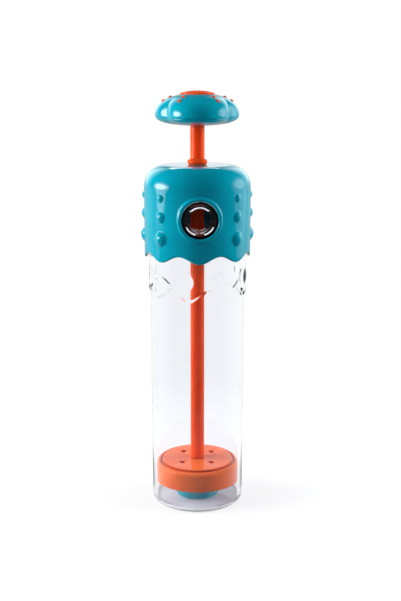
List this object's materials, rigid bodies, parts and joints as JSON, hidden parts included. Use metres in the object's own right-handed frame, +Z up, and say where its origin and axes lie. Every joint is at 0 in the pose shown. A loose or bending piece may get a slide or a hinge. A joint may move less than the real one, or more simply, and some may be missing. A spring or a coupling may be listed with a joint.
{
  "type": "hand pump water squirter",
  "caption": "Hand pump water squirter with a clear barrel, a turning spout cap with a scalloped skirt, and a pull-up plunger with a lobed handle.",
  "frame": {"origin": "centre of the barrel's foot, on the surface that it stands on", "axes": "+Z up along the barrel and the rod, -Y out of the spout port"},
  "size_m": [0.0716, 0.0716, 0.2669],
  "materials": {
    "clear_plastic": "clear, polished",
    "teal_plastic": "glossy",
    "orange_plastic": "glossy",
    "coral_plastic": "glossy",
    "orange_rubber": "satin",
    "black_rubber": "matt",
    "natural_plastic": "satin",
    "steel": "plain"
  },
  "bodies": {
    "barrel": {"barrel": "clear_plastic", "spout_liner": "clear_plastic", "rod_guide": "natural_plastic", "rod_wiper": "black_rubber", "liner_seal": "black_rubber", "cap_snap_ring": "natural_plastic"},
    "inlet_valve": {"inlet_valve": "teal_plastic", "inlet_valve_clip": "steel", "inlet_valve_seal": "black_rubber"},
    "cap": {"cap_shell": "teal_plastic", "port_nozzle": "clear_plastic", "port_gasket": "black_rubber"},
    "piston_slide": {"piston_cup": "orange_rubber"},
    "plunger": {"rod": "orange_plastic", "piston_plate": "coral_plastic", "piston_core": "orange_plastic", "piston_screw": "steel", "piston_washer": "steel", "handle_shell": "teal_plastic", "handle_base": "teal_plastic", "handle_core": "orange_plastic", "handle_button": "orange_plastic", "handle_screw": "steel"},
    "piston_valve": {"piston_valve": "black_rubber"}
  },
  "joints": [
    {"name": "plunger_stroke", "type": "slide", "parent": "barrel", "child": "piston_slide", "axis": [0, 0, 1], "range_m": [0, 0.147]},
    {"name": "plunger_spin", "type": "hinge", "parent": "piston_slide", "child": "plunger", "pos_m": [0, 0, 0.02], "axis": [0, 0, 1], "continuous": true},
    {"name": "cap_turn", "type": "hinge", "parent": "barrel", "child": "cap", "pos_m": [0, 0, 0.19], "axis": [0, 0, 1], "continuous": true},
    {"name": "inlet_valve_lift", "type": "slide", "parent": "barrel", "child": "inlet_valve", "axis": [0, 0, 1], "range_m": [0, 0.002]},
    {"name": "piston_valve_lift", "type": "slide", "parent": "plunger", "child": "piston_valve", "axis": [0, 0, 1], "range_m": [0, 0.003]}
  ]
}
